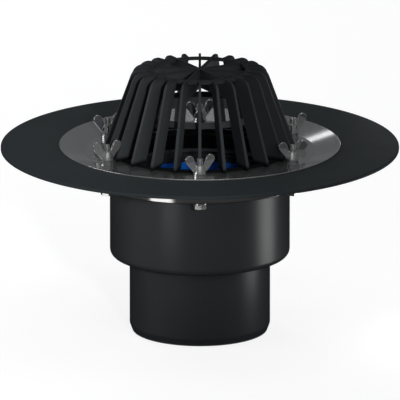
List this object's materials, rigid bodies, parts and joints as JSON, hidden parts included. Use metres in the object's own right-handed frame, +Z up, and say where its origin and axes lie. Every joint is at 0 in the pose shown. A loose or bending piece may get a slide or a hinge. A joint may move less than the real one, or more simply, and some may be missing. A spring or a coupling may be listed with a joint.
{
  "type": "flat roof drain",
  "caption": "Flat roof drain: stepped pipe body with a thick flange, a membrane collar clamped by a dished steel ring and wing nuts, and a finned leaf guard on top.",
  "frame": {"origin": "centre of the spigot's lower end, on the drain's axis", "axes": "+Z up along the drain's axis towards the leaf guard; -Y towards the front wing nut; +X to the right"},
  "size_m": [0.354, 0.354, 0.2395],
  "materials": {
    "body_plastic": "black moulded polyolefin, soft sheen",
    "collar_sheet": "black membrane sheet, matt",
    "guard_plastic": "black moulded plastic, fine matt grain",
    "stainless_sheet": "bright rolled stainless sheet, pressed",
    "stainless_plate": "turned stainless plate",
    "bolt_steel": "bright rolled stainless steel",
    "washer_steel": "stamped stainless steel, tumbled",
    "nut_steel": "polished forged stainless steel",
    "seal_rubber": "dark grey elastomer with a slight gloss",
    "sleeve_plastic": "blue moulded plastic"
  },
  "bodies": {
    "drain": {"drain_body": "body_plastic", "membrane_collar": "collar_sheet", "clamp_ring": "stainless_sheet", "counter_ring": "stainless_plate", "hex_bolts": "bolt_steel", "lower_washers": "washer_steel", "upper_washers": "washer_steel", "spring_washers": "washer_steel", "leaf_guard": "guard_plastic", "lip_seal": "seal_rubber", "insert_sleeve": "sleeve_plastic"},
    "nut_1": {"wing_nut_1": "nut_steel"},
    "nut_2": {"wing_nut_2": "nut_steel"},
    "nut_3": {"wing_nut_3": "nut_steel"},
    "nut_4": {"wing_nut_4": "nut_steel"},
    "nut_5": {"wing_nut_5": "nut_steel"},
    "nut_6": {"wing_nut_6": "nut_steel"}
  },
  "joints": [
    {"name": "nut_1_turn", "type": "hinge", "parent": "drain", "child": "nut_1", "pos_m": [0, -0.095, 0.168], "axis": [0, 0, 1], "range_deg": [0, 360]},
    {"name": "nut_2_turn", "type": "hinge", "parent": "drain", "child": "nut_2", "pos_m": [0.08227, -0.0475, 0.168], "axis": [0, 0, 1], "range_deg": [0, 360]},
    {"name": "nut_3_turn", "type": "hinge", "parent": "drain", "child": "nut_3", "pos_m": [0.08227, 0.0475, 0.168], "axis": [0, 0, 1], "range_deg": [0, 360]},
    {"name": "nut_4_turn", "type": "hinge", "parent": "drain", "child": "nut_4", "pos_m": [0, 0.095, 0.168], "axis": [0, 0, 1], "range_deg": [0, 360]},
    {"name": "nut_5_turn", "type": "hinge", "parent": "drain", "child": "nut_5", "pos_m": [-0.08227, 0.0475, 0.168], "axis": [0, 0, 1], "range_deg": [0, 360]},
    {"name": "nut_6_turn", "type": "hinge", "parent": "drain", "child": "nut_6", "pos_m": [-0.08227, -0.0475, 0.168], "axis": [0, 0, 1], "range_deg": [0, 360]}
  ]
}
